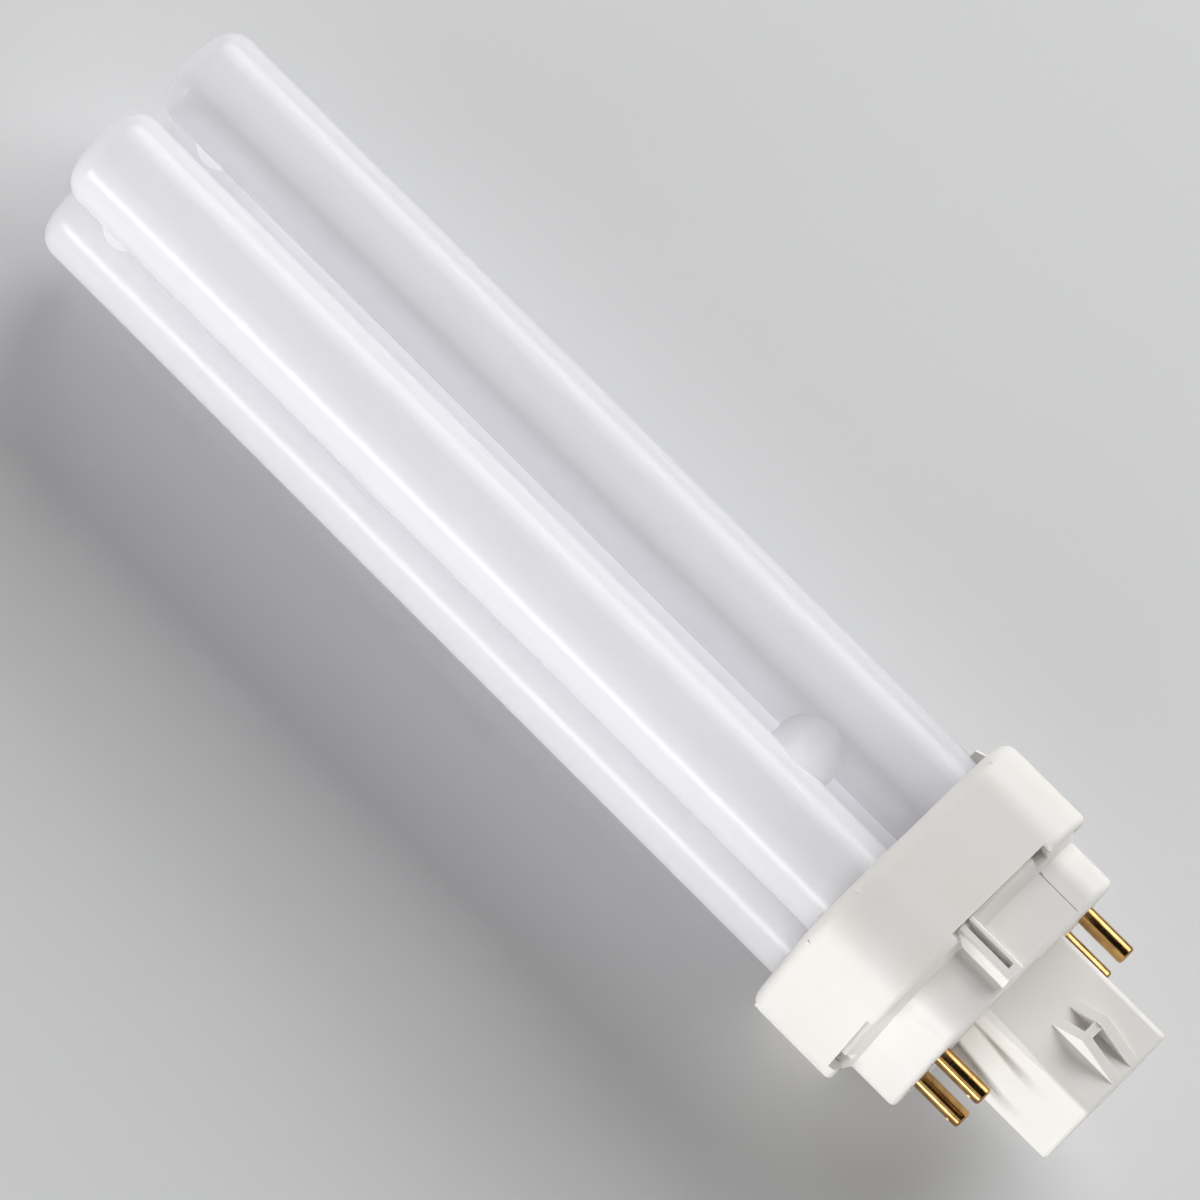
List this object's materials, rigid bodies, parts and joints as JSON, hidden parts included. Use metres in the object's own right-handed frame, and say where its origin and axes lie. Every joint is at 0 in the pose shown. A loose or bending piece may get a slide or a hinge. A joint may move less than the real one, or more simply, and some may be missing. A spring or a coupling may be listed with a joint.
{
  "type": "square compact fluorescent lamp",
  "caption": "Compact fluorescent lamp: parallel glass tubes in a square collar, with a plug-in cap that has a latching post, keys and hollow contact pins.",
  "frame": {"origin": "on the lamp's axis, in the end face of the cap's boss, which seats against the lamp holder", "axes": "+X along the axis towards the plug, with the glass tubes towards -X; +Z is the normal of the keyed side that faces up as the lamp lies, and the lamp rests on the collar's flat towards -Z"},
  "size_m": [0.1512, 0.0348, 0.0348],
  "materials": {
    "phosphor_glass": "clear glass over a white phosphor coat, opaque",
    "white_plastic": "moulded warm white thermoplastic, semi-matt",
    "brass": "drawn and rolled brass, bright",
    "wire": "bare drawn wire",
    "cement": "matt white lamp cement"
  },
  "bodies": {
    "root": {"discharge_vessel": "phosphor_glass", "collar": "white_plastic", "cap_base": "white_plastic", "contact_pin_1": "brass", "contact_pin_2": "brass", "contact_pin_3": "brass", "contact_pin_4": "brass", "lead_wire_1": "wire", "lead_wire_2": "wire", "lead_wire_3": "wire", "lead_wire_4": "wire", "tube_cement_1": "cement", "tube_cement_2": "cement", "tube_cement_3": "cement", "tube_cement_4": "cement"}
  },
  "joints": []
}
